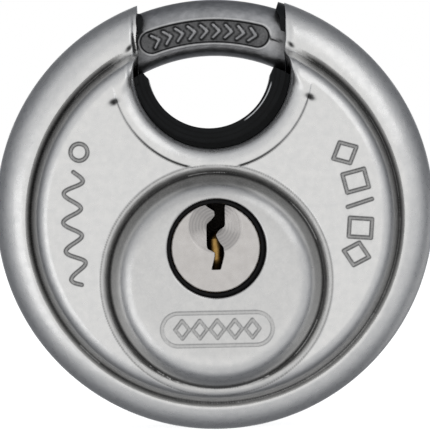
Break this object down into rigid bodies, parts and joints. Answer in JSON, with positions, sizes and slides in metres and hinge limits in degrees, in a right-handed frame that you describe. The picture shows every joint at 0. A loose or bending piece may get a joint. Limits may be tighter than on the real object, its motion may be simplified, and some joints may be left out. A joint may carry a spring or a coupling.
{
  "type": "disc padlock",
  "caption": "Round steel padlock with a lined throat in its rim. Turning the plug swings a curved shackle round inside the case, out of the throat.",
  "frame": {"origin": "centre of the round case, on the plane where its two shells meet, which is also the centre that the shackle turns about", "axes": "+Z from the case's centre to the throat and the shackle, +Y from the keyway's face to the back, +X to the right as seen from the keyway's face"},
  "size_m": [0.05, 0.0232, 0.049],
  "materials": {
    "stainless_shell": "satin stainless steel with a fine grain",
    "shackle_steel": "satin hardened steel, darker than the case",
    "liner_plastic": "glossy black",
    "seal_rubber": "dull black",
    "plug_nickel": "nickel-plated, satin",
    "brass": "machined brass",
    "zinc_casting": "as cast, dull grey",
    "hardware_steel": "bright steel"
  },
  "bodies": {
    "case": {"front_shell": "stainless_shell", "rear_shell": "stainless_shell", "throat_liner": "liner_plastic", "keyway_seal": "seal_rubber", "inner_frame": "zinc_casting", "cylinder_housing": "brass", "housing_screw_left": "hardware_steel", "housing_screw_right": "hardware_steel", "driver_pin_1": "brass", "driver_pin_2": "brass", "driver_pin_3": "brass", "driver_pin_4": "brass", "driver_pin_5": "brass", "pin_spring_1": "hardware_steel", "pin_spring_2": "hardware_steel", "pin_spring_3": "hardware_steel", "pin_spring_4": "hardware_steel", "pin_spring_5": "hardware_steel", "chamber_plug_1": "brass", "chamber_plug_2": "brass", "chamber_plug_3": "brass", "chamber_plug_4": "brass", "chamber_plug_5": "brass"},
    "shackle": {"shackle": "shackle_steel", "drive_sector": "hardware_steel", "drive_stud_1": "hardware_steel", "drive_stud_2": "hardware_steel"},
    "plug": {"plug": "plug_nickel", "drive_pinion": "brass", "tail_screw": "hardware_steel", "retaining_washer": "hardware_steel", "key_pin_1": "brass", "key_pin_2": "brass", "key_pin_3": "brass", "key_pin_4": "brass", "key_pin_5": "brass"}
  },
  "joints": [
    {"name": "shackle_turn", "type": "hinge", "parent": "case", "child": "shackle", "pos_m": [0, 0, 0], "axis": [0, 1, 0], "range_deg": [0, 70]},
    {"name": "plug_turn", "type": "hinge", "parent": "case", "child": "plug", "pos_m": [0, 0, -0.00405], "axis": [0, 1, 0], "range_deg": [0, 140]}
  ],
  "couplings": [
    {"joint": "plug_turn", "follows": "shackle_turn", "ratio": 2}
  ]
}
